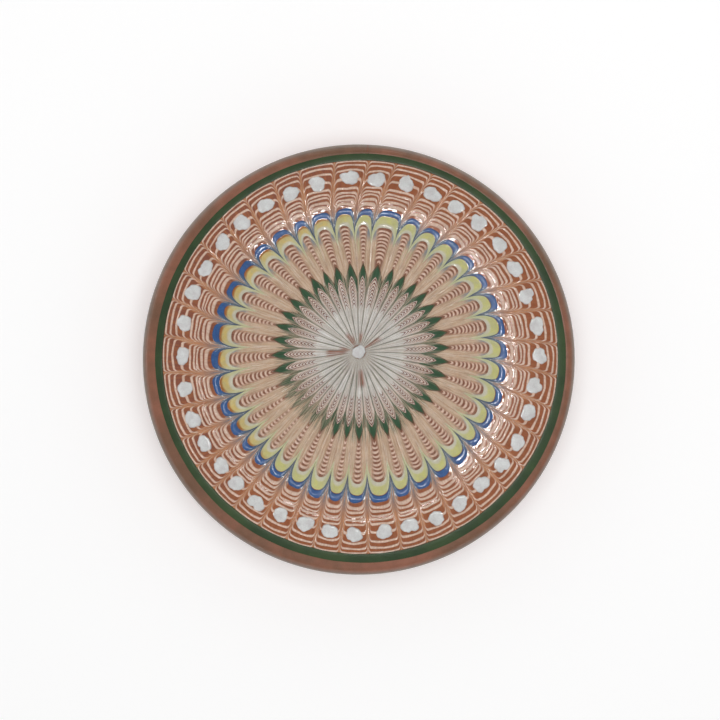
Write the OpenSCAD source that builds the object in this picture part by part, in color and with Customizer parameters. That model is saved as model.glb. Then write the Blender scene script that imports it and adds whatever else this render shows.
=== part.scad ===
// Hand painted ceramic plate: red earthenware with combed slip rings under a clear glaze.
// Millimetres. +Z is up, and the origin is the centre of the foot ring's rest plane.
// Angles run clockwise from +Y, as the comb strokes were drawn round the plate.

/* [Plate] */
// Diameter over the lip
plate_d = 250; // [200:1:300]
// Height from the rest plane to the top of the lip
plate_h = 36; // [34:1:44]
// Thickness of the floor and the wall, glaze included
wall_t = 7; // [6:0.5:8]
// Thickness of the rounded lip
lip_t = 7; // [6:0.5:8]
// Height of the soft shoulder between the well and the flange
shoulder_rise = 4; // [2:0.5:6]

/* [Foot] */
// Outer diameter of the foot ring
foot_d = 124; // [100:1:130]
// Height from the rest plane to the turned base inside the foot ring
foot_h = 6; // [5:0.5:7]
// Width of the foot ring where it meets the base
foot_w = 8; // [7:0.5:10]
// Width of the flat face that the plate rests on
foot_land = 4; // [3:0.5:5]
// How much thicker than elsewhere the wall is round the foot
foot_swell = 2.5; // [0:0.5:4]

/* [Slip and glaze] */
// Thickness of the slip layer
slip_t = 0.6; // [0.4:0.1:0.8]
// Thickness of the clear glaze
glaze_t = 0.3; // [0.2:0.05:0.4]

/* [Pattern] */
// Diameter of one white border dot
dot_d = 8.2; // [6:0.2:8.4]
// Diameter of the white drop in the middle
drop_d = 7.8; // [6:0.2:10]
// Distance from the middle of the plate to the middle of the pattern
drift = 4.2; // [0:0.2:4.4]
// Mean turn of a comb stroke from the petals out to the dots' outer side, in degrees
slant = 3; // [0:0.1:4]

/* [Hidden] */
$fn = 180;

rim_r = plate_d / 2;
lip_r = lip_t / 2;
lip_centre = [rim_r - lip_r, plate_h - lip_r];
// The flange meets the round lip where their slopes agree, this far round from the lip's top
lip_lean = 17;
flange_end = lip_centre.x - lip_r * sin(lip_lean);
flange_top = lip_centre.y + lip_r * cos(lip_lean);
well_z = foot_h + wall_t;
dish_rise = flange_top - well_z - shoulder_rise;
// The shoulder's inner and outer radius as shares of the plate's radius
shoulder_in = 0.61 * rim_r;
shoulder_out = 0.79 * rim_r;
// The swell round the foot fades over about this distance
swell_reach = 0.16 * rim_r;
// Radii at which the dished surfaces are sampled, every 5 % of the flange's radius
profile_steps = 20;
// The slip and glaze wrap the lip down to this angle above its outermost line
skin_end = 10;
arc_step = 10;

// The pattern's radii below are those of a plate of this diameter
pattern_plate_d = 250;
pattern_scale = plate_d / pattern_plate_d;
// Relative widths of the cells between comb strokes, clockwise from the stroke next to +Y
cell_widths = [
    8, 11.5, 8, 9, 9, 9, 9.5, 9.5, 10.5, 9.5, 9.5, 9.5, 10, 8.5, 9.5, 9, 9.5, 8.5, 10.5, 9,
    8, 8.5, 9, 8.5, 7.5, 7.5, 8.5, 9, 10.5, 10.5, 10.5, 8.5, 9.5, 10, 9.5, 10, 7.5, 9.5, 9
];
// Angle of the comb stroke that starts the first cell
first_stroke = -2.3;
// The strokes start to turn at this radius and have turned by the whole slant at the next one
slant_from = 75;
slant_to = 113;
// How many degrees more than the slant the strokes turn at an angle
slant_unevenness = [
    [-30, -1], [0, 2], [30, 0], [60, 1], [90, 0.5], [120, 0], [150, 0], [180, -2], [210, -3],
    [240, -0.5], [270, 0.5], [300, 1.5], [330, -1], [360, 2]
];
// Radius of the circle that the white dots sit on
dot_row = 103.4;
// How far a row's centre lies towards +X and +Y at a radius, as a share of the drift: the rows were
// trailed by hand and aren't quite concentric
aside = [[0, 0], [50, 0.24], [82, 0.05], [88, 0], [105, 0.18], [115, 0.22], [119, 0.3]];
upwards = [[0, 1], [50, 1.02], [82, 0.6], [88, 0.45], [105, 0.52], [115, 0.36], [119, 0.25]];
// Slip rows from the rim inwards: radius of the row's outer edge in the middle of a cell, how far
// the comb pulled that edge in at a stroke, how square the arch is that this leaves, and the slip.
// The border's rows are left as they were trailed, before the comb was drawn through them.
rows = [
    [119, 0, 1, "green band"],
    [114.1, 0, 1, "white border"],
    [112.4, 0, 1, "brown"],
    [110.5, 0, 1, "white border"],
    [108.8, 0, 1, "brown"],
    [99, 0, 1, "white border"],
    [97.4, 0, 1, "brown"],
    [95.6, 0, 1, "white border"],
    [94.1, 0, 1, "brown"],
    [90.8, 0, 1, "white border"],
    [89, 0, 1, "brown"],
    [87.2, 12, 4, "blue"],
    [83, 13, 4, "yellow"],
    [78, 12, 3, "white petal"],
    [75.5, 12, 3, "brown"],
    [71, 12, 3, "white petal"],
    [68.5, 12, 3, "brown"],
    [63.5, 12, 3, "white petal"],
    [61, 12, 3, "brown"],
    [53, 9.5, 1.1, "green leaf"],
    [45.2, 10.3, 1.45, "white centre"]
];
// Places across a cell at which its rows are drawn: -1 and 1 are the strokes on its two sides
cell_steps = [-1, -0.7, 0, 0.7];

function sum_to(list, n) = n <= 0 ? 0 : list[n - 1] + sum_to(list, n - 1);
function soft_step(t) = t <= 0 ? 0 : t >= 1 ? 1 : t * t * (3 - 2 * t);

// Height of the glazed face at radius r
function face_z(r) = well_z + dish_rise * pow(r / flange_end, 2)
    + shoulder_rise * soft_step((r - shoulder_in) / (shoulder_out - shoulder_in));
// Height of the underside at radius r
function under_z(r) = face_z(r) - wall_t - foot_swell * exp(-pow((r - foot_d / 2) / swell_reach, 2));
// Points of the face from the middle to the lip's outside, a depth below the glazed surface
function face_points(depth) = concat(
    [for (i = [0:profile_steps - 1]) let (r = flange_end * i / profile_steps) [r, face_z(r) - depth]],
    [for (a = [90 + lip_lean:-arc_step:skin_end]) lip_centre + (lip_r - depth) * [cos(a), sin(a)]],
    [lip_centre + (lip_r - depth) * [cos(skin_end), sin(skin_end)]]
);
function backwards(list) = [for (i = [len(list) - 1:-1:0]) list[i]];

cell_count = len(cell_widths);
cell_degrees = 360 / sum_to(cell_widths, cell_count);
// Angle of stroke i where the petals start
function stroke(i) = first_stroke + cell_degrees * sum_to(cell_widths, i);
// Angle at radius r of the place that lies at angle a where the petals start
function swept(a, r) = a + (slant + lookup(a, slant_unevenness))
    * max(0, min(1, (r - slant_from) / (slant_to - slant_from)));
// Centre of what was drawn at radius r
function drifted(r) = pattern_scale * drift * [lookup(r, aside), lookup(r, upwards)];
// Point of the pattern at radius r and angle a
function pattern_point(r, a) = drifted(r) + pattern_scale * r * [sin(swept(a, r)), cos(swept(a, r))];
// Points of a slip row's outer edge, combed at every stroke
function combed_edge(row) = [
    for (i = [0:cell_count - 1])
        let (from = stroke(i), width = stroke(i + 1) - from)
            for (u = cell_steps)
                pattern_point(row[0] - row[1] * pow(abs(u), row[2]), from + width * (u + 1) / 2)
];

// Solid of revolution between two depths below the glazed face
module face_layer(top, bottom) {
    rotate_extrude() polygon(concat(face_points(top), backwards(face_points(bottom))));
}

// Everything inside a slip row's outer edge
module inside_edge(row) {
    if (row[1] == 0) translate(drifted(row[0])) circle(r = row[0] * pattern_scale);
    else polygon(combed_edge(row));
}

// Plan of every row of one slip
module row_plan(slip) {
    for (i = [0:len(rows) - 1])
        if (rows[i][3] == slip)
            difference() {
                inside_edge(rows[i]);
                if (i < len(rows) - 1) inside_edge(rows[i + 1]);
            }
}

module dots_plan() {
    for (i = [0:cell_count - 1])
        translate(pattern_point(dot_row, (stroke(i) + stroke(i + 1)) / 2))
            circle(d = dot_d * pattern_scale);
}

module drop_plan() {
    translate(pattern_point(0, 0)) circle(d = drop_d * pattern_scale);
}

// Cuts a plan out of the slip layer
module slip_solid() {
    intersection() {
        face_layer(glaze_t, glaze_t + slip_t);
        linear_extrude(plate_h) children();
    }
}

module plate_body() {
    outside = [for (a = [skin_end:-arc_step:lip_lean - 90]) lip_centre + lip_r * [cos(a), sin(a)]];
    under = [for (i = [profile_steps - 1:-1:0]) let (r = flange_end * i / profile_steps) [r, under_z(r)]];
    color("#A5563B")
        rotate_extrude() polygon(concat(face_points(glaze_t + slip_t), outside, under));
}

module foot_ring() {
    outer = foot_d / 2;
    inner = outer - foot_w;
    slope = (foot_w - foot_land) / 2;
    joint = [for (i = [0:profile_steps]) let (r = flange_end * i / profile_steps) if (r > inner && r < outer) r];
    color("#9C4F36")
        rotate_extrude() polygon(concat(
            [[inner + slope, 0], [outer - slope, 0], [outer, under_z(outer)]],
            [for (r = backwards(joint)) [r, under_z(r)]],
            [[inner, under_z(inner)]]
        ));
}

module ground_slip() {
    color("#6B4536") slip_solid() {
        difference() {
            circle(r = rim_r + 1);
            inside_edge(rows[0]);
        }
        difference() {
            row_plan("brown");
            dots_plan();
        }
    }
}

module rim_band() { color("#324529") slip_solid() row_plan("green band"); }
module border_lines() { color("#E2C0AE") slip_solid() row_plan("white border"); }
module border_dots() { color("#D3D3D2") slip_solid() dots_plan(); }
module blue_caps() { color("#3C66A4") slip_solid() row_plan("blue"); }
module yellow_petals() { color("#C9C878") slip_solid() row_plan("yellow"); }
module petal_lines() { color("#E2C0AE") slip_solid() row_plan("white petal"); }
module green_leaves() { color("#365A3A") slip_solid() row_plan("green leaf"); }

module centre_rays() {
    color("#CDC9C2") slip_solid() difference() {
        row_plan("white centre");
        drop_plan();
    }
}

module centre_drop() { color("#D3D3D2") slip_solid() drop_plan(); }
module clear_glaze() { color("#F4F4F0", 0.3) face_layer(0, glaze_t); }

plate_body();
foot_ring();
ground_slip();
rim_band();
border_lines();
border_dots();
blue_caps();
yellow_petals();
petal_lines();
green_leaves();
centre_rays();
centre_drop();
clear_glaze();
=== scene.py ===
import math

import bpy
import numpy as np
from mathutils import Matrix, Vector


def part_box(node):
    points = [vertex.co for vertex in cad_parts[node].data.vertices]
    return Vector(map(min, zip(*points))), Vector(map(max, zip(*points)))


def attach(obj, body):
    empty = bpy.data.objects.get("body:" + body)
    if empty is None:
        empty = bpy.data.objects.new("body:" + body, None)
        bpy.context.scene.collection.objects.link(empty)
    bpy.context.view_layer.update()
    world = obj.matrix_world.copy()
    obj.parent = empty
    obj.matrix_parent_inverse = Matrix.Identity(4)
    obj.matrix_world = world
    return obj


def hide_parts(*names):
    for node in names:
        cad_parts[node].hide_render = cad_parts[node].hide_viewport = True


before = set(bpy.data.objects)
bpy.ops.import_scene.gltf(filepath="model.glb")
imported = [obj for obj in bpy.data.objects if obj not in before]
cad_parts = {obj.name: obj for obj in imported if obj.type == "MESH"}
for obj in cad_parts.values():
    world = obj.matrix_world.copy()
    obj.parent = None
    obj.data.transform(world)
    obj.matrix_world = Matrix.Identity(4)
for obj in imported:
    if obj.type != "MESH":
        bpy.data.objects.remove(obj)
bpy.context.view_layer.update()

# Lengths are millimetres until a mesh is made. Angles run clockwise from +Y, in degrees.
MM = 0.001

# ---- The plate's form, as the CAD has it ----
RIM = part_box("plate_body")[1].x / MM
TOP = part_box("clear_glaze")[1].z / MM
# Thickness of the glaze, and of the glaze and the slip together
GLAZE = 0.3
SKIN = 0.9
WELL_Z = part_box("clear_glaze")[0].z / MM + GLAZE
FOOT_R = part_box("foot_ring")[1].x / MM
# Width of the foot ring where it meets the base, and of the flat face it stands on
FOOT_W = 8.0
FOOT_LAND = 4.0
# Thickness of the wall, and how much thicker it is round the foot
WALL = 7.0
FOOT_SWELL = 2.5
SWELL_REACH = 0.16 * RIM
# Radius of the rounded lip's section
LIP = 3.5
LIP_R = RIM - LIP
LIP_Z = TOP - LIP
# The flange meets the round lip this far round from its top
LIP_LEAN = 17.0
FLANGE_END = LIP_R - LIP * math.sin(math.radians(LIP_LEAN))
FLANGE_TOP = LIP_Z + LIP * math.cos(math.radians(LIP_LEAN))
# Height and place of the soft shoulder between the well and the flange
SHOULDER_RISE = 4.0
SHOULDER_IN = 0.61 * RIM
SHOULDER_OUT = 0.79 * RIM
DISH_RISE = FLANGE_TOP - WELL_Z - SHOULDER_RISE


def soft_step(t):
    """0 up to 0 and 1 from 1 on, with a smooth rise between them."""
    t = np.clip(t, 0.0, 1.0)
    return t * t * (3.0 - 2.0 * t)


def face_z(r):
    """Height of the glazed face at radius r."""
    shoulder = soft_step((r - SHOULDER_IN) / (SHOULDER_OUT - SHOULDER_IN))
    return WELL_Z + DISH_RISE * (r / FLANGE_END) ** 2 + SHOULDER_RISE * shoulder


def under_z(r):
    """Height of the underside at radius r."""
    return face_z(r) - WALL - FOOT_SWELL * np.exp(-(((r - FOOT_R) / SWELL_REACH) ** 2))


# ---- The combed pattern ----
# Relative widths of the cells between comb strokes, clockwise from the stroke next to +Y
CELL_WIDTHS = [
    8, 11.5, 8, 9, 9, 9, 9.5, 9.5, 10.5, 9.5, 9.5, 9.5, 10, 8.5, 9.5, 9, 9.5, 8.5, 10.5, 9,
    8, 8.5, 9, 8.5, 7.5, 7.5, 8.5, 9, 10.5, 10.5, 10.5, 8.5, 9.5, 10, 9.5, 10, 7.5, 9.5, 9,
]
CELLS = len(CELL_WIDTHS)
FIRST_STROKE = -2.3
STROKES = FIRST_STROKE + np.concatenate([[0.0], np.cumsum(CELL_WIDTHS)]) * 360.0 / sum(CELL_WIDTHS)
# Radii between which the strokes turn
SLANT_FROM = 75.0
SLANT_TO = 113.0
# How far the strokes have turned by the rim, every 30 degrees from -30 round to 360
SLANTS = [2.0, 5.0, 3.0, 4.0, 3.5, 3.0, 3.0, 1.0, 0.0, 2.5, 3.5, 4.5, 2.0, 5.0]
# The rows aren't quite concentric: how far a row's centre lies towards +X and +Y at a radius
DRIFT = 4.2
DRIFT_AT = [0.0, 50.0, 82.0, 88.0, 105.0, 115.0, 119.0]
ASIDE = [0.0, 0.24, 0.05, 0.0, 0.18, 0.22, 0.3]
UPWARDS = [1.0, 1.02, 0.6, 0.45, 0.52, 0.36, 0.25]
# Slip further out than this wasn't combed
COMB_IN = 114.3
# Radius of the circle that the white dots sit on
DOT_ROW = 103.4
# Outer radius of the green band, the green leaves and the white middle
BAND_OUT = 119.1
LEAF_R = 53.0
CENTRE_R = 45.2
# How far the comb pulled in the edges of the middle and the leaves, and how square an arch it left
CENTRE_PULL, LEAF_PULL = 10.3, 9.5
CENTRE_ARCH, LEAF_ARCH = 1.45, 1.1
# How strongly a white dot pushed the slip round it away, and where that levels off
DOT_PUSH, DOT_CORE = 7.0, 1.5
# The furrow along a comb stroke, and the low berm on each side of it
FURROW_DEEP, FURROW_WIDE = 0.25, 0.45
BERM_HIGH, BERM_WIDE, BERM_AT = 0.08, 0.5, 1.1


def slant(angle):
    """How far the stroke at an angle has turned by the rim."""
    return np.interp(angle, np.arange(-30.0, 361.0, 30.0), SLANTS)


def row_centre(r):
    """Centre of a row of slip."""
    return DRIFT * np.interp(r, DRIFT_AT, ASIDE), DRIFT * np.interp(r, DRIFT_AT, UPWARDS)


def pull(r0):
    """How far a comb stroke dragged the slip that lay at radius r0."""
    return np.interp(r0, [56.0, 75.0, 86.0, 92.0, 99.0, 105.0, 111.0, 113.5, COMB_IN],
                     [13.0, 13.0, 12.5, 11.5, 10.0, 8.5, 6.5, 5.0, 0.0])


def softness(r0):
    """Distance from a stroke over which its drag fades by a factor of e."""
    return np.interp(r0, [56.0, 75.0, 86.0, 92.0, 100.0, 106.0, 112.0, 115.0],
                     [1.9, 1.7, 1.3, 1.0, 0.8, 0.65, 0.55, 0.5])


def drag_width(r):
    """Half the width at radius r of the smeared slip along a stroke."""
    return np.interp(r, [30.0, 52.0, 75.0, 80.0, 88.0, 94.0, 104.0, 114.0],
                     [0.7, 3.1, 3.5, 3.0, 2.3, 1.9, 1.1, 0.4])


def dragged(across, broad, r0):
    """How far inwards the comb moved slip that lay at radius r0 in a cell that was `broad` wide there."""
    soft = softness(r0)
    nearer = np.exp(-across * broad / soft) + np.exp(-(1.0 - across) * broad / soft)
    outer = pull(r0) * (nearer - 2.0 * np.exp(-0.5 * broad / soft))
    aside = np.abs(2.0 * across - 1.0)
    arch = np.interp(r0, [CENTRE_R, LEAF_R], [CENTRE_ARCH, LEAF_ARCH])
    inner = np.interp(r0, [0.0, CENTRE_R, LEAF_R], [0.0, CENTRE_PULL, LEAF_PULL]) * aside ** arch
    share = np.clip((LEAF_R + 4.0 - r0) / 4.0, 0.0, 1.0)
    return outer * (1.0 - share) + inner * share


def wander(cell, across, r0):
    """Small unevenness of the rows, as a hand trailed them."""
    slow = 0.26 * np.sin(1.9 * cell + 0.21 * r0) + 0.2 * np.sin(3.7 * cell + 2.0 + 0.33 * r0)
    quick = 0.16 * np.sin(9.0 * across + 1.3 * cell + 0.9 * r0)
    quick = quick + 0.4 * np.sin(2.3 * cell + 1.0) * (across - 0.5)
    return (slow + quick) * np.clip((COMB_IN - r0) / 3.0, 0.0, 1.0) * np.clip(r0 / 70.0, 0.0, 1.0)


def comb(cell, across, r0, lift):
    """Point of the slip that lay at radius r0, a share `across` of the way over a cell, after combing."""
    cell, across, r0, lift = np.broadcast_arrays(cell, across, np.asarray(r0, float), lift)
    width = STROKES[cell + 1] - STROKES[cell]
    broad = np.radians(width) * r0
    from_dot = r0 - DOT_ROW
    away = np.hypot(broad * (across - 0.5), from_dot)
    pushed = from_dot * (np.sqrt(1.0 + DOT_PUSH / (away**2 + DOT_CORE)) - 1.0)
    r = r0 + pushed + wander(cell, across, r0) - dragged(across, broad, r0)
    angle = STROKES[cell] + width * across
    turn = np.clip((r - SLANT_FROM) / (SLANT_TO - SLANT_FROM), 0.0, 1.0)
    angle = angle + slant(angle) * turn
    centre_x, centre_y = row_centre(np.abs(r))
    x = centre_x + r * np.sin(np.radians(angle))
    y = centre_y + r * np.cos(np.radians(angle))
    beside = np.minimum(across, 1.0 - across) * np.radians(width) * r
    # The furrow fades out at the outer end of a stroke and in the plate's middle
    combed = np.clip((COMB_IN - r) / 4.0, 0.0, 1.0) * np.clip((r - 3.0) / 12.0, 0.0, 1.0)
    berm = BERM_HIGH * np.exp(-(((beside - BERM_AT) / BERM_WIDE) ** 2))
    furrow = FURROW_DEEP * np.exp(-((beside / FURROW_WIDE) ** 2))
    z = face_z(np.hypot(x, y)) + lift + combed * (berm - furrow)
    return np.stack([x, y, z], axis=-1)


# ---- Meshes ----
def make_mesh(name, points, faces, uvs):
    """A smooth mesh in metres. uvs maps a UV layer's name to one value pair for each corner of each face."""
    mesh = bpy.data.meshes.new(name)
    mesh.from_pydata((points * MM).tolist(), [], faces.tolist())
    for layer, values in uvs.items():
        mesh.uv_layers.new(name=layer).data.foreach_set("uv", values.astype(np.float32).ravel())
    mesh.polygons.foreach_set("use_smooth", np.ones(len(faces), bool))
    mesh.update()
    piece = bpy.data.objects.new(name, mesh)
    bpy.context.scene.collection.objects.link(piece)
    return piece


def quads(rows, cols, wrap_rows, wrap_cols):
    """Corner indices (row, col) of the quads of a grid."""
    i, j = np.meshgrid(np.arange(rows - (not wrap_rows)), np.arange(cols - (not wrap_cols)), indexing="ij")
    corners = [(i, j), (i, j + 1), (i + 1, j + 1), (i + 1, j)]
    return [(a.ravel(), b.ravel()) for a, b in corners]


def finish_piece(piece, material, slot, *nodes):
    """Gives a piece its material and its body, and hides the CAD nodes that it stands for."""
    piece.data.materials.append(material)
    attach(piece, "root")
    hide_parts(*nodes)


# Shares across a line, and across a wider row, from its outer to its inner edge
LINE_STEPS = np.array([0.0, 0.12, 0.5, 0.88, 1.0])
BAND_STEPS = np.array([0.0, 0.04, 0.12, 0.5, 0.88, 0.96, 1.0])
# The larger its exponent, the flatter a line's, a row's or the band's top
LINE_CROWN, ROW_CROWN, BAND_CROWN = 4, 12, 14
# A ridge rises to its full height over the first points from each end
END_RISE = np.array([0.35, 0.7])
# Heights against the glazed face: a ridge's edges and top, and the ground between the ridges
EDGE_DEPTH = -0.42
LINE_LIFT = -0.1
GROUND_LIFT = -0.34
# How far a ridge's underside lies below its edges, and where that is
UNDER_EDGE = 0.3
UNDERSIDE = EDGE_DEPTH - UNDER_EDGE
# Places across a cell: beside its strokes, and between the bends in its middle
BESIDE_STEPS = np.linspace(0.0, 1.0, 10) ** 1.3
MIDDLE_STEPS = np.array([0.25, 0.5, 0.75])


def along_steps(cell, r0, leg):
    """Places across one cell at which a slip row is drawn, with those of its legs closer together.
    Outside the leaves its legs end where the comb had moved it by the share `leg` of its pull, and
    further in the row takes up that share of the cell."""
    broad = math.radians(STROKES[cell + 1] - STROKES[cell]) * r0
    start, bend = 0.5 * (1.0 - leg), 0.4 + 0.05 * (1.0 - leg)
    if r0 > LEAF_R + 2.0:
        start = float(softness(r0)) * math.log(1.0 / leg) / broad
        bend = min(float(softness(r0)) * 3.4 / broad, 0.42)
    beside = start + (bend - start) * BESIDE_STEPS
    middle = bend + (1.0 - 2.0 * bend) * MIDDLE_STEPS
    return np.concatenate([beside, middle, 1.0 - beside[::-1]])


def slip_row(name, row_edges, steps, leg, lift):
    """Closed ridges of slip, one for each row and cell, as the comb left them.
    row_edges lists each row's outer and inner radius before combing."""
    points, comb_uv, slip_uv, faces = [], [], [], []
    ring = len(steps) + 2
    count = 2 * len(BESIDE_STEPS) + len(MIDDLE_STEPS)
    flatness = LINE_CROWN if steps is LINE_STEPS else ROW_CROWN
    crown = 1.0 - np.abs(2.0 * steps - 1.0) ** flatness
    section = np.concatenate([EDGE_DEPTH + (lift - EDGE_DEPTH) * crown, [UNDERSIDE] * 2])
    ends = np.concatenate([END_RISE, np.ones(count - 2 * len(END_RISE)), END_RISE[::-1]])
    heights = EDGE_DEPTH + np.outer(ends, section - EDGE_DEPTH)
    share = np.concatenate([steps, [1.0, 0.0]])
    fade = 1.0 - BESIDE_STEPS
    legs = np.concatenate([fade, [0.0] * len(MIDDLE_STEPS), fade[::-1]])
    base = 0
    for outer, inner in row_edges:
        for cell in range(CELLS):
            across = along_steps(cell, (outer + inner) / 2.0, leg)
            r0 = np.concatenate([outer + (inner - outer) * steps, [inner, outer]])
            points.append(comb(cell, across[:, None], r0[None, :], heights).reshape(-1, 3))
            u, v = np.meshgrid(cell + across, r0 / RIM, indexing="ij")
            comb_uv.append(np.stack([u, v], -1).reshape(-1, 2))
            u, v = np.meshgrid(legs, share, indexing="ij")
            slip_uv.append(np.stack([u, v], -1).reshape(-1, 2))
            corners = [base + i * ring + j % ring for i, j in quads(count, ring, False, True)]
            faces.append(np.stack(corners, -1))
            base += count * ring
    points, faces = np.concatenate(points), np.concatenate(faces)
    comb_uv, slip_uv = np.concatenate(comb_uv), np.concatenate(slip_uv)
    return make_mesh(name, points, faces, {"comb": comb_uv[faces], "slip": slip_uv[faces]})


# ---- Materials ----
def linear(code, alpha=1.0):
    """The shader colour of an sRGB colour such as #A0B1C2."""
    parts = [int(code[i:i + 2], 16) / 255.0 for i in (1, 3, 5)]
    return [c / 12.92 if c <= 0.04045 else ((c + 0.055) / 1.055) ** 2.4 for c in parts] + [alpha]


def add(tree, kind, inputs=None, **settings):
    """A shader node. An input is a value, or a socket to link to it."""
    made = tree.nodes.new("ShaderNode" + kind)
    for name, value in settings.items():
        setattr(made, name, value)
    for name, value in (inputs or {}).items():
        if isinstance(value, bpy.types.NodeSocket):
            tree.links.new(value, made.inputs[name])
        else:
            made.inputs[name].default_value = value
    return made


def uv(tree, layer):
    """The two coordinates of a UV layer, as sockets."""
    split = add(tree, "SeparateXYZ", {"Vector": add(tree, "UVMap", uv_map=layer).outputs["UV"]})
    return split.outputs["X"], split.outputs["Y"]


def vary(tree, value, low, high, to_low=0.0, to_high=1.0):
    """A value stretched smoothly from one range to another."""
    made = add(tree, "MapRange", {
        "Value": value, "From Min": low, "From Max": high, "To Min": to_low, "To Max": to_high,
    }, interpolation_type="SMOOTHSTEP")
    return made.outputs["Result"]


def mix(tree, share, first, second, blend="MIX"):
    """One colour laid over another. Colours are sRGB codes or sockets."""
    made = tree.nodes.new("ShaderNodeMix")
    made.data_type = "RGBA"
    made.blend_type = blend
    for index, value in ((0, share), (6, first), (7, second)):
        if isinstance(value, str):
            value = linear(value)
        if isinstance(value, bpy.types.NodeSocket):
            tree.links.new(value, made.inputs[index])
        else:
            made.inputs[index].default_value = value
    return made.outputs[2]


def math_node(tree, operation, first, second=0.0):
    """The result of one sum on values or sockets."""
    made = add(tree, "Math", operation=operation)
    for index, value in enumerate((first, second)):
        if isinstance(value, bpy.types.NodeSocket):
            tree.links.new(value, made.inputs[index])
        else:
            made.inputs[index].default_value = value
    return made.outputs[0]


def times(tree, first, second):
    """The product of two values."""
    return math_node(tree, "MULTIPLY", first, second)


def away_from(tree, value, place):
    """How far a value lies from a place."""
    return math_node(tree, "ABSOLUTE", math_node(tree, "SUBTRACT", value, place))


def streaks(tree, fine, long):
    """Noise drawn out along the comb strokes: its scale across them, in cells, and along them."""
    u, v = uv(tree, "comb")
    place = add(tree, "CombineXYZ", {"X": times(tree, u, fine), "Y": times(tree, v, long)})
    made = add(tree, "TexNoise", {
        "Vector": place.outputs[0], "Scale": 1.0, "Detail": 3.0, "Roughness": 0.6,
    }, noise_dimensions="2D")
    return made.outputs["Fac"]


def mottle(tree, scale, detail=4.0):
    """Even noise in the plate's own space."""
    where = add(tree, "TexCoord").outputs["Object"]
    noise = {"Vector": where, "Scale": scale, "Detail": detail, "Roughness": 0.55}
    return add(tree, "TexNoise", noise).outputs["Fac"]


# Scales of the noise in the slip and the glaze, per metre
CLOUDS, GRAIN = 170.0, 1500.0
GLOSS, RELIEF, RIPPLE = 420.0, 700.0, 330.0


def glazed(name, paint, coat=1.0, rough=0.42, coat_rough=0.04):
    """Slip under clear glaze. paint(tree) gives its colour."""
    material = bpy.data.materials.new(name)
    material.use_nodes = True
    tree = material.node_tree
    shader = tree.nodes["Principled BSDF"]
    colour = paint(tree)
    cloud = vary(tree, mottle(tree, CLOUDS), 0.3, 0.7)
    colour = mix(tree, 0.16, colour, mix(tree, cloud, "#6A5A50", "#FFFFFF"), "MULTIPLY")
    grain = vary(tree, mottle(tree, GRAIN, 2.0), 0.25, 0.75)
    colour = mix(tree, 0.12, colour, mix(tree, grain, "#5A4A40", "#FFFFFF"), "MULTIPLY")
    tree.links.new(colour, shader.inputs["Base Color"])
    gloss = vary(tree, mottle(tree, GLOSS), 0.3, 0.7, rough - 0.08, rough + 0.1)
    tree.links.new(gloss, shader.inputs["Roughness"])
    shader.inputs["Coat Weight"].default_value = coat
    shader.inputs["Coat Roughness"].default_value = coat_rough
    shader.inputs["Coat IOR"].default_value = 1.5
    shader.inputs["Specular IOR Level"].default_value = 0.2
    normal = add(tree, "Bump", {"Height": mottle(tree, RELIEF, 3.0), "Strength": 0.06, "Distance": 0.0006})
    tree.links.new(normal.outputs["Normal"], shader.inputs["Normal"])
    ripple = add(tree, "Bump", {"Height": mottle(tree, RIPPLE, 2.0), "Strength": 0.35, "Distance": 0.00025})
    tree.links.new(ripple.outputs["Normal"], shader.inputs["Coat Normal"])
    return material


# Places round the plate, counted in cells: the middle of its left half, and where the leaves are weakest
LEFT_MIDDLE = 31.5
WEAK_LEAVES = 25.0


def on_left(tree):
    """1 on the plate's left half and 0 on its right."""
    u = uv(tree, "comb")[0]
    return vary(tree, away_from(tree, u, LEFT_MIDDLE), 5.5, 8.0, 1.0, 0.0)


# In the paints, a radius is a share of the rim's. A leg is 1 at a row's ends beside a stroke, and a share
# runs from 0 at a row's outer edge to 1 at its inner edge.
def paint_ground(tree):
    """Brown slip between the rows, and along each stroke the colours that the comb dragged in."""
    laid = uv(tree, "comb")[1]
    radius, beside = uv(tree, "place")
    streak = streaks(tree, 11.0, 9.0)
    border = vary(tree, radius, 0.6, 0.69)
    outer = mix(tree, on_left(tree), "#9B552F", "#8C503B")
    rows = mix(tree, border, "#85543F", outer)
    rows = mix(tree, vary(tree, streak, 0.35, 0.7), rows, mix(tree, border, "#986A52", "#A2603B"))
    drag = mix(tree, border, "#D2B69C", "#C78A5E")
    drag = mix(tree, vary(tree, streak, 0.4, 0.62), drag, mix(tree, border, "#C3A183", "#B5774F"))
    pale = vary(tree, streaks(tree, 23.0, 12.0), 0.52, 0.75)
    drag = mix(tree, pale, drag, mix(tree, border, "#E0CCB8", "#D3A584"))
    green = times(tree, vary(tree, streaks(tree, 17.0, 3.0), 0.55, 0.7), vary(tree, radius, 0.45, 0.56))
    green = times(tree, green, vary(tree, radius, 0.6, 0.66, 0.7, 0.0))
    drag = mix(tree, green, drag, "#BDBB8C")
    blue = times(tree, vary(tree, radius, 0.66, 0.745, 0.85, 0.0), vary(tree, radius, 0.55, 0.6))
    blue = times(tree, blue, vary(tree, beside, 0.14, 0.3, 1.0, 0.0))
    drag = mix(tree, blue, drag, mix(tree, streak, "#5F7386", "#8C979C"))
    split = vary(tree, streaks(tree, 19.0, 3.0), 0.48, 0.6)
    torn = times(tree, vary(tree, radius, 0.36, 0.41, 0.8, 0.0), split)
    drag = mix(tree, torn, drag, "#48664A")
    edge = math_node(tree, "ADD", beside, times(tree, streak, 0.08))
    colour = mix(tree, vary(tree, edge, 0.22, 0.38), drag, rows)
    return mix(tree, vary(tree, laid, 0.916, 0.922), colour, "#7A5842")


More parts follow.
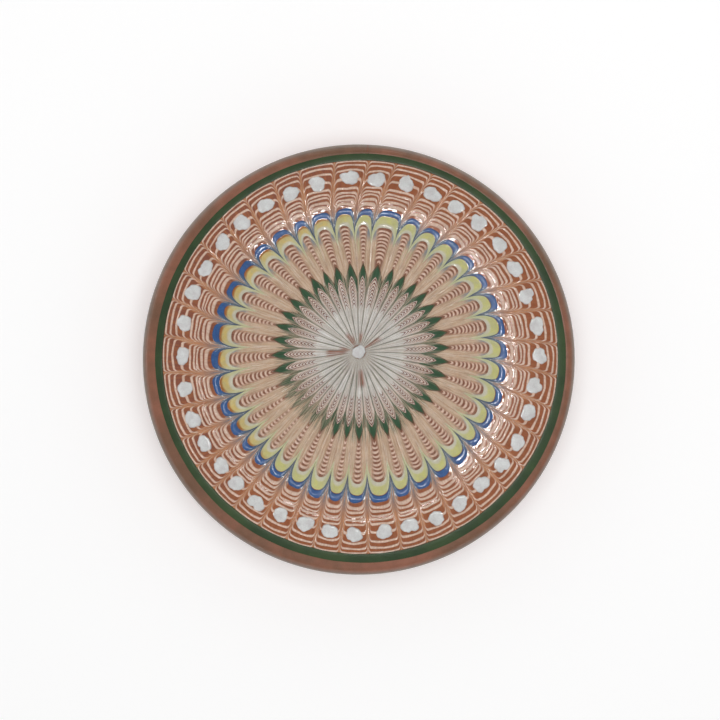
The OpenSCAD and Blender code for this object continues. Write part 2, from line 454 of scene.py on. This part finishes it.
def paint_lip(tree):
    """Brown slip, with a painted reflection of the bright surround: grey on the lip's outside."""
    radius = uv(tree, "place")[0]
    colour = mix(tree, vary(tree, mottle(tree, 25.0), 0.35, 0.65), "#77553F", "#95604A")
    # Painted reflection: the lip's outside is turned grey where its glaze would mirror the bright surround
    return mix(tree, vary(tree, radius, 0.975, 0.998), colour, "#93867C")


def paint_band(tree):
    """Dark green, browner along both edges."""
    cloud = vary(tree, mottle(tree, 38.0), 0.32, 0.68)
    colour = mix(tree, cloud, "#2C4224", "#384E29")
    share = uv(tree, "slip")[1]
    edge = vary(tree, away_from(tree, share, 0.5), 0.36, 0.5)
    return mix(tree, edge, colour, "#43391F")


def paint_line(tree):
    """Pinkish white, browner along its edges and its legs."""
    leg, share = uv(tree, "slip")
    colour = mix(tree, vary(tree, streaks(tree, 14.0, 20.0), 0.35, 0.7), "#E8CAB6", "#D8B49E")
    edge = vary(tree, away_from(tree, share, 0.5), 0.18, 0.5)
    colour = mix(tree, times(tree, edge, 0.75), colour, "#A46E52")
    return mix(tree, vary(tree, leg, 0.2, 1.0, 0.0, 0.8), colour, "#B88566")


def paint_dot(tree):
    """Off-white, browner round the drop's edge. Its share runs from the drop's middle to its edge."""
    cloud = vary(tree, mottle(tree, 260.0), 0.35, 0.7)
    colour = mix(tree, cloud, "#E4E6E5", "#D8D6D6")
    share = uv(tree, "slip")[1]
    return mix(tree, vary(tree, share, 0.8, 1.0, 0.0, 0.6), colour, "#A08C80")


def paint_blue(tree):
    """Cobalt blue, darker along its edges and greyer towards the strokes."""
    leg, share = uv(tree, "slip")
    colour = mix(tree, vary(tree, streaks(tree, 7.0, 60.0), 0.3, 0.7), "#31629C", "#2D5490")
    edge = vary(tree, away_from(tree, share, 0.5), 0.3, 0.5)
    colour = mix(tree, times(tree, edge, 0.6), colour, "#2C3A58")
    return mix(tree, vary(tree, leg, 0.15, 0.8, 0.0, 0.85), colour, "#56646E")


def paint_yellow(tree):
    """Pale yellow, warmer on the left, and whiter towards its inner edge."""
    leg, share = uv(tree, "slip")
    left = on_left(tree)
    cloud = vary(tree, streaks(tree, 5.0, 40.0), 0.3, 0.7)
    colour = mix(tree, left, mix(tree, cloud, "#CFCD80", "#C9C68C"), mix(tree, cloud, "#D8BF74", "#CDBD84"))
    outer = times(tree, vary(tree, share, 0.1, 0.3, 1.0, 0.0), left)
    colour = mix(tree, outer, colour, "#A8682C")
    colour = mix(tree, vary(tree, share, 0.55, 0.8), colour, "#D2CDB8")
    return mix(tree, vary(tree, leg, 0.15, 0.8, 0.0, 0.85), colour, "#C8C9A0")


def paint_leaf(tree):
    """Leaf green, redder at the outer edge, torn along its legs and weakest at one place."""
    leg, share = uv(tree, "slip")
    colour = mix(tree, vary(tree, streaks(tree, 8.0, 20.0), 0.35, 0.7), "#30583A", "#2C4C31")
    colour = mix(tree, vary(tree, share, 0.0, 0.35, 0.8, 0.0), colour, "#6F4029")
    torn = times(tree, vary(tree, streaks(tree, 26.0, 4.0), 0.44, 0.62), vary(tree, leg, 0.05, 0.7))
    colour = mix(tree, torn, colour, "#B9A48C")
    u = uv(tree, "comb")[0]
    weak = vary(tree, away_from(tree, u, WEAK_LEAVES), 1.5, 3.5, 1.0, 0.0)
    weak = times(tree, weak, vary(tree, streaks(tree, 15.0, 5.0), 0.42, 0.56))
    return mix(tree, weak, colour, "#A89880")


def paint_inner(tree):
    """Brown arcs in the white middle, which fade along their legs."""
    leg = uv(tree, "slip")[0]
    colour = mix(tree, vary(tree, streaks(tree, 16.0, 50.0), 0.52, 0.68), "#70392A", "#9A6650")
    return mix(tree, vary(tree, leg, 0.35, 1.0), colour, "#B99480")


# Where brown slip broke through the white middle: angle, inner and outer radius
BROWN_STREAKS = [
    (5, 9, 16), (57, 6, 18), (177, 6, 17), (268, 8, 20), (280, 7, 13), (325, 8, 17), (335, 9, 15),
]


def brown_streak(tree, angle, inner, outer):
    """How much a brown streak covers of the white middle."""
    radius = uv(tree, "place")[0]
    cell = int(np.searchsorted(STROKES, angle)) - 1
    place = cell + (angle - STROKES[cell]) / (STROKES[cell + 1] - STROKES[cell])
    off = away_from(tree, uv(tree, "comb")[0], place)
    along = times(tree, vary(tree, radius, inner / RIM - 0.01, inner / RIM + 0.02),
                  vary(tree, radius, outer / RIM - 0.02, outer / RIM + 0.01, 1.0, 0.0))
    near = times(tree, vary(tree, off, 0.3, 0.9, 0.95, 0.0), along)
    return times(tree, near, vary(tree, streaks(tree, 5.0, 2.0), 0.38, 0.52))


def paint_centre(tree):
    """White with fine dark streaks, pinker towards its edge and greener along the strokes."""
    laid = uv(tree, "comb")[1]
    radius, beside = uv(tree, "place")
    streak = streaks(tree, 9.0, 6.0)
    colour = mix(tree, vary(tree, streaks(tree, 14.0, 3.0), 0.4, 0.62), "#ECEBE8", "#CDC3B8")
    pink = times(tree, vary(tree, laid, 0.2, 0.33), 0.8)
    rows = vary(tree, streaks(tree, 13.0, 40.0), 0.4, 0.6)
    colour = mix(tree, pink, colour, mix(tree, rows, "#E6C8B4", "#E6DACF"))
    hub = times(tree, vary(tree, radius, 0.045, 0.12, 1.0, 0.0), vary(tree, streak, 0.3, 0.7))
    colour = mix(tree, times(tree, hub, 0.45), colour, "#9C8677")
    fine = vary(tree, streaks(tree, 27.0, 4.0), 0.5, 0.64)
    colour = mix(tree, times(tree, fine, 0.7), colour, "#8A7A62")
    torn = math_node(tree, "ADD", beside, times(tree, streaks(tree, 19.0, 9.0), 0.3))
    stroke = times(tree, vary(tree, torn, 0.16, 0.34, 0.9, 0.0), vary(tree, radius, 0.035, 0.1, 0.25, 1.0))
    colour = mix(tree, stroke, colour, "#6B6B55")
    for place in BROWN_STREAKS:
        colour = mix(tree, brown_streak(tree, *place), colour, "#8E5238")
    return colour


def bare_clay(name):
    """Unglazed red earthenware, with turning marks and coarse grains."""
    material = bpy.data.materials.new(name)
    material.use_nodes = True
    tree = material.node_tree
    shader = tree.nodes["Principled BSDF"]
    colour = mix(tree, vary(tree, mottle(tree, 22.0), 0.3, 0.7), "#A4563A", "#8F4A33")
    colour = mix(tree, vary(tree, mottle(tree, 900.0, 2.0), 0.55, 0.75), colour, "#B9775A")
    colour = mix(tree, vary(tree, mottle(tree, 1900.0, 1.0), 0.66, 0.74), colour, "#6B3A2A")
    where = add(tree, "SeparateXYZ", {"Vector": add(tree, "TexCoord").outputs["Object"]})
    across = add(tree, "CombineXYZ", {"X": where.outputs["X"], "Y": where.outputs["Y"]})
    length = add(tree, "VectorMath", {0: across.outputs[0]}, operation="LENGTH").outputs["Value"]
    rings = add(tree, "TexNoise", {
        "W": times(tree, length, 900.0), "Scale": 1.0, "Detail": 3.0,
    }, noise_dimensions="1D").outputs["Fac"]
    colour = mix(tree, times(tree, vary(tree, rings, 0.4, 0.7), 0.35), colour, "#7D412D")
    tree.links.new(colour, shader.inputs["Base Color"])
    tree.links.new(vary(tree, mottle(tree, 300.0), 0.3, 0.7, 0.72, 0.9), shader.inputs["Roughness"])
    height = math_node(tree, "ADD", times(tree, rings, 0.7), mottle(tree, 1400.0, 3.0))
    normal = add(tree, "Bump", {"Height": height, "Strength": 0.35, "Distance": 0.0003})
    tree.links.new(normal.outputs["Normal"], shader.inputs["Normal"])
    return material


# ---- The pieces ----
# Faces round the turned clay, and round the green band
CLAY_SEGMENTS = 240
BAND_SEGMENTS = 480


def around(segments):
    """Angles round a circle, in radians."""
    return np.arange(segments) * 2.0 * math.pi / segments


def polar_grid(name, radii, heights, wobble=None):
    """A closed surface of revolution. Its radii and heights run round the outline of its section."""
    turn = around(CLAY_SEGMENTS)
    rr, tt = np.meshgrid(radii, turn, indexing="ij")
    zz = np.broadcast_to(np.asarray(heights)[:, None], rr.shape).copy()
    if wobble is not None:
        zz = zz + wobble(rr, tt)
    points = np.stack([rr * np.sin(tt), rr * np.cos(tt), zz], -1).reshape(-1, 3)
    grid = quads(len(radii), CLAY_SEGMENTS, True, True)
    corners = [(i % len(radii)) * CLAY_SEGMENTS + j % CLAY_SEGMENTS for i, j in grid]
    return make_mesh(name, points, np.stack(corners, -1), {})


def make_body():
    """The thrown body: turning rings under it, and its face just below the slip."""
    # The mesh starts this far from the axis, so that all its faces are quads
    middle_r = 0.4
    under_r = np.linspace(middle_r, FLANGE_END, 150)
    under = under_z(under_r)
    lip_a = np.radians(np.arange(LIP_LEAN - 90.0 + 6.0, 90.0 + LIP_LEAN, 8.0))
    low = lip_a < math.radians(4.0)
    lip_rad = np.where(low, LIP - 0.1, LIP - SKIN)
    top_r = np.linspace(FLANGE_END - 1.0, middle_r, 40)
    radii = np.concatenate([under_r, LIP_R + lip_rad * np.cos(lip_a), top_r])
    heights = np.concatenate([under, LIP_Z + lip_rad * np.sin(lip_a), face_z(top_r) - SKIN])
    on_under = np.concatenate([np.ones(len(under_r)), np.zeros(len(lip_a) + len(top_r))])[:, None]

    def rings(rr, tt):
        throwing = 0.16 * np.sin(2.0 * math.pi * rr / 5.2 + tt)
        throwing = throwing + 0.05 * np.sin(2.0 * math.pi * rr / 1.7 + 2.0 * tt)
        calm = np.clip((rr - FOOT_R - 2.0) / 6.0, 0.0, 1.0) * np.clip((FLANGE_END - rr) / 4.0, 0.0, 1.0)
        turned = 0.07 * np.sin(2.0 * math.pi * rr / 2.4) * (rr < FOOT_R - FOOT_W - 1.0)
        return on_under * (throwing * calm + turned)

    piece = polar_grid("clay_body", radii, heights, rings)
    finish_piece(piece, CLAY, "red_clay", "plate_body")


def make_foot():
    """The turned foot ring, with worn edges. Its top is sunk a little into the body."""
    outer, inner = FOOT_R, FOOT_R - FOOT_W
    slope = (FOOT_W - FOOT_LAND) / 2.0
    edge = 0.7
    sunk = 0.25
    top_outer, top_inner = float(under_z(outer)) + sunk, float(under_z(inner)) + sunk
    outside_z = np.linspace(top_outer, edge, 14)
    outside_r = outer - slope * (1.0 - outside_z / top_outer) + 0.05 * np.sin(outside_z * 4.0)
    inside_z = np.linspace(edge, top_inner, 14)
    inside_r = inner + slope * (1.0 - inside_z / top_inner)
    turn = np.radians(np.arange(10.0, 90.0, 20.0))
    round_out_r = outer - slope - edge + edge * np.cos(turn)
    round_out_z = edge - edge * np.sin(turn)
    land_r = np.linspace(outer - slope - edge, inner + slope + edge, 6)
    round_in_r = inner + slope + edge - edge * np.sin(turn)
    round_in_z = edge - edge * np.cos(turn)
    radii = np.concatenate([outside_r, round_out_r, land_r, round_in_r, inside_r])
    heights = np.concatenate([outside_z, round_out_z, np.zeros(6), round_in_z, inside_z])
    piece = polar_grid("clay_foot_ring", radii, heights)
    finish_piece(piece, CLAY, "red_clay", "foot_ring")


def across_ground():
    """Places across a cell for the ground's grid, closer together beside the strokes."""
    half = np.array([0.0, 0.012, 0.03, 0.055, 0.085, 0.125, 0.18, 0.26, 0.37])
    return np.concatenate([half, [0.5], 1.0 - half[:0:-1]])


def over_cells():
    """Cell and place across it of every point in one row of a grid round the plate."""
    steps = across_ground()
    return np.repeat(np.arange(CELLS), len(steps)), np.tile(steps, CELLS)


def rim_angle(cells, across):
    """Angle that places across the cells have turned to by the rim, in radians."""
    angle = STROKES[cells] + across * (STROKES[cells + 1] - STROKES[cells])
    return np.radians(angle + slant(angle))


def make_skin(name, top, bottom, laid, material, slot, *nodes):
    """A closed skin from rows of points round the plate. laid is each row's radius before combing."""
    cells, across = over_cells()
    rows = np.concatenate([top, bottom[::-1]])
    count, cols = rows.shape[:2]
    radius = np.hypot(rows[:, :, 0], rows[:, :, 1])
    width = np.radians(STROKES[cells + 1] - STROKES[cells])
    beside = np.minimum(across, 1.0 - across) * width * radius / drag_width(radius) / 4.0
    laid = np.concatenate([laid, laid[::-1]])[:, None] / RIM
    comb_uv = np.stack(np.broadcast_arrays(cells + across, laid), -1).reshape(-1, 2)
    place_uv = np.stack([radius / RIM, beside], -1).reshape(-1, 2)
    faces = np.stack([(i % count) * cols + j for i, j in quads(count, cols, True, False)], -1)
    piece = make_mesh(name, rows.reshape(-1, 3), faces, {"comb": comb_uv[faces], "place": place_uv[faces]})
    finish_piece(piece, material, slot, *nodes)


# Thickness of the ground's coat, and of the white middle's ridges
GROUND_THICK, CENTRE_THICK = 0.35, 0.45


def make_ground():
    """The ground slip on the face, with every stroke of the comb in it."""
    cells, across = over_cells()
    combed = np.concatenate([np.linspace(7.0, 40.0, 10), np.linspace(43.0, 113.7, 56), [COMB_IN]])
    top = [comb(cells, across, r0, GROUND_LIFT) for r0 in combed]
    last = top[-1]
    beyond = np.linspace(0.2, 1.0, 5)
    turned = rim_angle(cells, across)
    for share in beyond:
        x = last[:, 0] * (1.0 - share) + FLANGE_END * np.sin(turned) * share
        y = last[:, 1] * (1.0 - share) + FLANGE_END * np.cos(turned) * share
        top.append(np.stack([x, y, face_z(np.hypot(x, y)) + GROUND_LIFT], axis=-1))
    laid = np.concatenate([combed, COMB_IN + (FLANGE_END - COMB_IN) * beyond])
    top = np.array(top)
    bottom = top - [0.0, 0.0, GROUND_THICK]
    make_skin("ground_slip_coat", top, bottom, laid, glazed("glazed_ground", paint_ground), "brown_slip",
              "ground_slip", "clear_glaze")


def make_lip():
    """The ground slip over the lip, from under the green band to a wavy line below the lip's outside."""
    turned = rim_angle(*over_cells())
    drip = 9.0 + 2.2 * np.sin(turned * 3.0 + 1.0) + 1.8 * np.sin(turned * 7.0)
    top, bottom = [], []
    band_x, band_y = row_centre(BAND_OUT)
    start = BAND_OUT - 1.0
    for share in np.linspace(0.0, 0.9, 7):
        x = (band_x + start * np.sin(turned)) * (1.0 - share) + FLANGE_END * np.sin(turned) * share
        y = (band_y + start * np.cos(turned)) * (1.0 - share) + FLANGE_END * np.cos(turned) * share
        z = face_z(np.hypot(x, y)) - 0.14 * (1.0 - share) - 0.01
        top.append(np.stack([x, y, z], -1))
        bottom.append(np.stack([x, y, z - 0.3], -1))
    for a in np.arange(90.0 + LIP_LEAN + 1.0, -14.0, -8.0):
        low = np.radians(a - drip * (a < 0.0))
        for layer, depth in ((top, 0.01), (bottom, 0.4)):
            r = LIP_R + (LIP - depth) * np.cos(low)
            z = LIP_Z + (LIP - depth) * np.sin(low)
            layer.append(np.stack(np.broadcast_arrays(r * np.sin(turned), r * np.cos(turned), z), -1))
    laid = np.full(len(top), RIM)
    slip = glazed("glazed_lip", paint_lip, coat=0.3, rough=0.55, coat_rough=0.25)
    make_skin("ground_slip_lip", np.array(top), np.array(bottom), laid, slip, "brown_slip", "ground_slip")


def make_centre():
    """The white star in the middle, one low ridge for each cell."""
    cells, across = over_cells()
    laid = np.concatenate([np.linspace(CENTRE_R, 30.0, 34), np.linspace(28.0, 4.4, 16)])
    top = []
    for n, r0 in enumerate(laid):
        edge = min(1.0, n / 3.0)
        ridge = 0.12 * np.sin(np.pi * across) * min(1.0, r0 / 20.0)
        lift = EDGE_DEPTH + (LINE_LIFT - 0.04 - EDGE_DEPTH) * edge + ridge * edge
        top.append(comb(cells, across, r0, lift))
    top = np.array(top)
    bottom = top - [0.0, 0.0, CENTRE_THICK]
    make_skin("white_centre_rays", top, bottom, laid, glazed("glazed_centre", paint_centre), "white_slip",
              "centre_rays")


def make_band():
    """The green band along the rim."""
    outer, inner = BAND_OUT, COMB_IN - 0.3
    steps = np.concatenate([BAND_STEPS, [1.0, 0.0]])
    crown = 1.0 - np.abs(2.0 * BAND_STEPS - 1.0) ** BAND_CROWN
    heights = np.concatenate([EDGE_DEPTH + (LINE_LIFT + 0.02 - EDGE_DEPTH) * crown, [UNDERSIDE] * 2])
    tt, share = np.meshgrid(around(BAND_SEGMENTS), steps, indexing="ij")
    sway = 0.18 * np.sin(3.0 * tt + 0.6) + 0.12 * np.sin(7.0 * tt) + 0.05 * np.sin(31.0 * tt)
    r = outer + (inner - outer) * share + sway
    centre_x, centre_y = row_centre(r)
    x, y = centre_x + r * np.sin(tt), centre_y + r * np.cos(tt)
    z = face_z(np.hypot(x, y)) + heights[None, :]
    points = np.stack([x, y, z], -1).reshape(-1, 3)
    ring = len(steps)
    grid = quads(BAND_SEGMENTS, ring, True, True)
    faces = np.stack([(i % BAND_SEGMENTS) * ring + j % ring for i, j in grid], -1)
    slip_uv = np.stack([tt, share], -1).reshape(-1, 2)
    piece = make_mesh("green_rim_band", points, faces, {"slip": slip_uv[faces]})
    slip = glazed("glazed_green_band", paint_band, coat=0.5, coat_rough=0.2)
    finish_piece(piece, slip, "green_slip", "rim_band")


# Points round a drop of slip, and its rings of points as shares of its radius
DROP_POINTS = 44
DROP_RINGS = np.array([0.0, 0.3, 0.55, 0.75, 0.88, 0.96, 1.0])


def blob(cell, across, r0, broad, tall, height, points, faces, values):
    """A domed drop of slip: an uneven oval whose skin curves down into the ground.
    Its points, faces and UV values are added to the lists."""
    centre = comb(np.array(cell), np.array(across), np.array(r0), 0.0)
    angle = around(DROP_POINTS)
    uneven = 1.0 + 0.08 * np.sin(2.0 * angle + cell * 2.1) + 0.06 * np.sin(3.0 * angle + cell * 1.3)
    uneven += 0.035 * np.sin(5.0 * angle + cell * 0.7) + 0.025 * np.sin(9.0 * angle + cell)
    notch = np.cos(angle - 0.5 * math.sin(cell * 1.1))
    if r0 > 0.0:
        uneven -= 0.22 * np.exp((notch - 1.0) * 22.0) * (0.6 + 0.4 * math.sin(cell * 2.0))
    base = sum(len(p) for p in points)
    facing = math.atan2(centre[0], centre[1]) if r0 > 0.0 else 0.0
    aside = np.outer(DROP_RINGS, uneven * np.sin(angle)) * broad
    outwards = np.outer(DROP_RINGS, uneven * np.cos(angle)) * tall
    x = centre[0] + aside * math.cos(facing) + outwards * math.sin(facing)
    y = centre[1] - aside * math.sin(facing) + outwards * math.cos(facing)
    dome = height * np.sqrt(np.clip(1.0 - DROP_RINGS**2.6, 0.0, 1.0))[:, None] + EDGE_DEPTH
    z = face_z(np.hypot(x, y)) + dome
    rows = np.stack([x, y, z], -1)
    under = rows[-1:].copy()
    under[:, :, 2] -= UNDER_EDGE
    rows = np.concatenate([rows, under])
    points.append(rows.reshape(-1, 3))
    grid = quads(len(rows), DROP_POINTS, False, True)
    faces.append(np.stack([base + i * DROP_POINTS + j % DROP_POINTS for i, j in grid], -1))
    share = np.concatenate([DROP_RINGS, [1.0]])[:, None] + np.zeros(DROP_POINTS)
    values.append(np.stack(np.broadcast_arrays(cell / CELLS, share), -1).reshape(-1, 2))


def make_blobs(name, places, material, slot, node):
    """One piece of all the drops. places lists each drop's cell, place across it, radius and sizes."""
    points, faces, values = [], [], []
    for place in places:
        blob(*place, points, faces, values)
    faces, values = np.concatenate(faces), np.concatenate(values)
    piece = make_mesh(name, np.concatenate(points), faces, {"slip": values[faces]})
    finish_piece(piece, material, slot, node)


def make_rows(name, row_edges, steps, leg, material, slot, node, lift=LINE_LIFT):
    """One piece of all the ridges of one slip."""
    finish_piece(slip_row(name, row_edges, steps, leg, lift), material, slot, node)


CLAY = bare_clay("bare_red_clay")
make_body()
make_foot()
make_ground()
make_lip()
make_centre()
make_band()

# Outer and inner radius of each row before combing
BORDER_ROWS = [
    (114.0, 113.0), (111.8, 110.4), (108.6, 107.1), (104.2, 102.6), (99.9, 98.3),
    (97.3, 95.8), (95.3, 94.0), (93.0, 91.2), (90.8, 88.4),
]
BLUE_ROW = (86.8, 83.0)
YELLOW_ROW = (82.9, 76.2)
LEAF_ROW = (LEAF_R, 45.0)
ARC_WIDE, ARC_PITCH = 1.6, 2.42
ARC_ROWS = [(r, r - ARC_WIDE) for r in np.arange(75.0, 55.5, -ARC_PITCH)]
INNER_WIDE, INNER_PITCH = 1.05, 2.1
INNER_ROWS = [(r, r - INNER_WIDE) for r in np.arange(44.2, 29.0, -INNER_PITCH)]
INNER_LIFT = 0.2

LINE = glazed("glazed_pinkish_line", paint_line)
make_rows("border_slip_lines", BORDER_ROWS, LINE_STEPS, 0.8, LINE, "line_slip", "border_lines")
make_rows("blue_petal_caps", [BLUE_ROW], BAND_STEPS, 0.97,
          glazed("glazed_blue", paint_blue), "blue_slip", "blue_caps")
make_rows("yellow_petal_bands", [YELLOW_ROW], BAND_STEPS, 0.97,
          glazed("glazed_yellow", paint_yellow), "yellow_slip", "yellow_petals")
make_rows("petal_slip_arcs", ARC_ROWS, LINE_STEPS, 0.2, LINE, "line_slip", "petal_lines")
make_rows("green_leaf_tips", [LEAF_ROW], BAND_STEPS, 1.0,
          glazed("glazed_leaf", paint_leaf), "leaf_slip", "green_leaves")
make_rows("brown_centre_arcs", INNER_ROWS, LINE_STEPS, 0.6,
          glazed("glazed_centre_arc", paint_inner), "brown_slip", "ground_slip", INNER_LIFT)

# Half the breadth round the plate and half the length across it, and the height of a dot
DOT_BROAD, DOT_TALL, DOT_HIGH = 5.0, 4.3, 0.65
WHITE = glazed("glazed_white_drop", paint_dot, rough=0.5)
dots = [
    (cell, 0.5 + 0.03 * math.sin(cell * 2.7), DOT_ROW + 0.3 * math.sin(cell * 1.7),
     DOT_BROAD * (1.0 + 0.06 * math.sin(cell * 3.3 + 1.0)), DOT_TALL * (1.0 + 0.05 * math.sin(cell * 1.9)),
     DOT_HIGH)
    for cell in range(CELLS)
]
make_blobs("white_border_dots", dots, WHITE, "white_slip", "border_dots")
make_blobs("white_centre_drop", [(0, 0.0, 0.0, 4.1, 4.0, 0.8)], WHITE, "white_slip", "centre_drop")

# ---- Studio ----
# The view leans this far towards +Y from straight above
TILT_DEGREES = 5.0
TILT = math.radians(TILT_DEGREES)
LENS = 85.0
SENSOR = 36.0
# Width of the view at the height of the lip, and what is in its middle, in metres
VIEW_WIDTH = 0.4152
VIEW_MIDDLE = (0.0007, 0.0014, TOP * MM)
camera = bpy.data.objects.new("camera", bpy.data.cameras.new("camera"))
camera.data.lens = LENS
camera.data.sensor_width = SENSOR
distance = VIEW_WIDTH * LENS / SENSOR
aim = np.array(VIEW_MIDDLE)
camera.location = (aim[0], aim[1] + distance * math.sin(TILT), aim[2] + distance * math.cos(TILT))
camera.rotation_euler = (-TILT, 0.0, 0.0)
bpy.context.scene.collection.objects.link(camera)
bpy.context.scene.camera = camera
bpy.context.scene.view_settings.view_transform = "Standard"


def make_floor():
    """A plain pale floor, which gives off a little light so that it stays white."""
    half = 8.0
    corners = [(-half, -half, 0), (half, -half, 0), (half, half, 0), (-half, half, 0)]
    mesh = bpy.data.meshes.new("floor")
    mesh.from_pydata(corners, [], [(0, 1, 2, 3)])
    floor = bpy.data.objects.new("floor", mesh)
    bpy.context.scene.collection.objects.link(floor)
    material = bpy.data.materials.new("pale_floor")
    material.use_nodes = True
    shader = material.node_tree.nodes["Principled BSDF"]
    shader.inputs["Base Color"].default_value = (0.97, 0.97, 0.97, 1.0)
    shader.inputs["Emission Color"].default_value = (1.0, 1.0, 1.0, 1.0)
    shader.inputs["Emission Strength"].default_value = 0.16
    shader.inputs["Roughness"].default_value = 0.9
    shader.inputs["Specular IOR Level"].default_value = 0.1
    mesh.materials.append(material)


def make_world():
    """An even surround, darker overhead so that the glaze stays clear."""
    world = bpy.data.worlds.new("studio")
    bpy.context.scene.world = world
    world.use_nodes = True
    tree = world.node_tree
    up = add(tree, "SeparateXYZ", {"Vector": add(tree, "TexCoord").outputs["Generated"]}).outputs["Z"]
    shade = vary(tree, up, 0.25, 0.75, 1.0, 0.35)
    tree.links.new(mix(tree, shade, "#000000", "#FFFFFF"), tree.nodes["Background"].inputs["Color"])
    tree.nodes["Background"].inputs["Strength"].default_value = 0.7


# Distances of the lamps from the plate, in metres
OVERHEAD_REACH, RING_REACH = 2.0, 1.3


def make_lamp(name, azimuth, from_top, power, size, reach):
    """A softbox on a dome round the plate, turned towards it."""
    a, t = math.radians(azimuth), math.radians(from_top)
    back = np.array([math.sin(a) * math.sin(t), math.cos(a) * math.sin(t), math.cos(t)])
    lamp = bpy.data.lights.new(name, "AREA")
    lamp.energy = power
    lamp.shape = "RECTANGLE"
    lamp.size, lamp.size_y = size
    made = bpy.data.objects.new(name, lamp)
    made.location = back * reach
    made.rotation_euler = (math.radians(from_top), 0.0, math.radians(180.0 - azimuth))
    bpy.context.scene.collection.objects.link(made)
    return made


def make_lamp_ring(name, azimuths, from_top, power, size):
    """Lamps that show only as sparkles in the glaze. They lean with the view, so that those form a ring."""
    for n, azimuth in enumerate(azimuths):
        leaning = from_top - TILT_DEGREES * math.cos(math.radians(azimuth))
        lamp = make_lamp(f"{name}_{n}", azimuth, leaning, power, size, RING_REACH)
        lamp.visible_diffuse = False


make_floor()
make_world()
overhead = make_lamp("overhead", 20.0, 8.0, 24.0, (1.6, 1.6), OVERHEAD_REACH)
overhead.visible_glossy = False
make_lamp_ring("window", range(145, 321, 11), 41.9, 0.9, (0.13, 0.032))
make_lamp_ring("strip", range(-30, 91, 15), 36.6, 0.45, (0.16, 0.03))
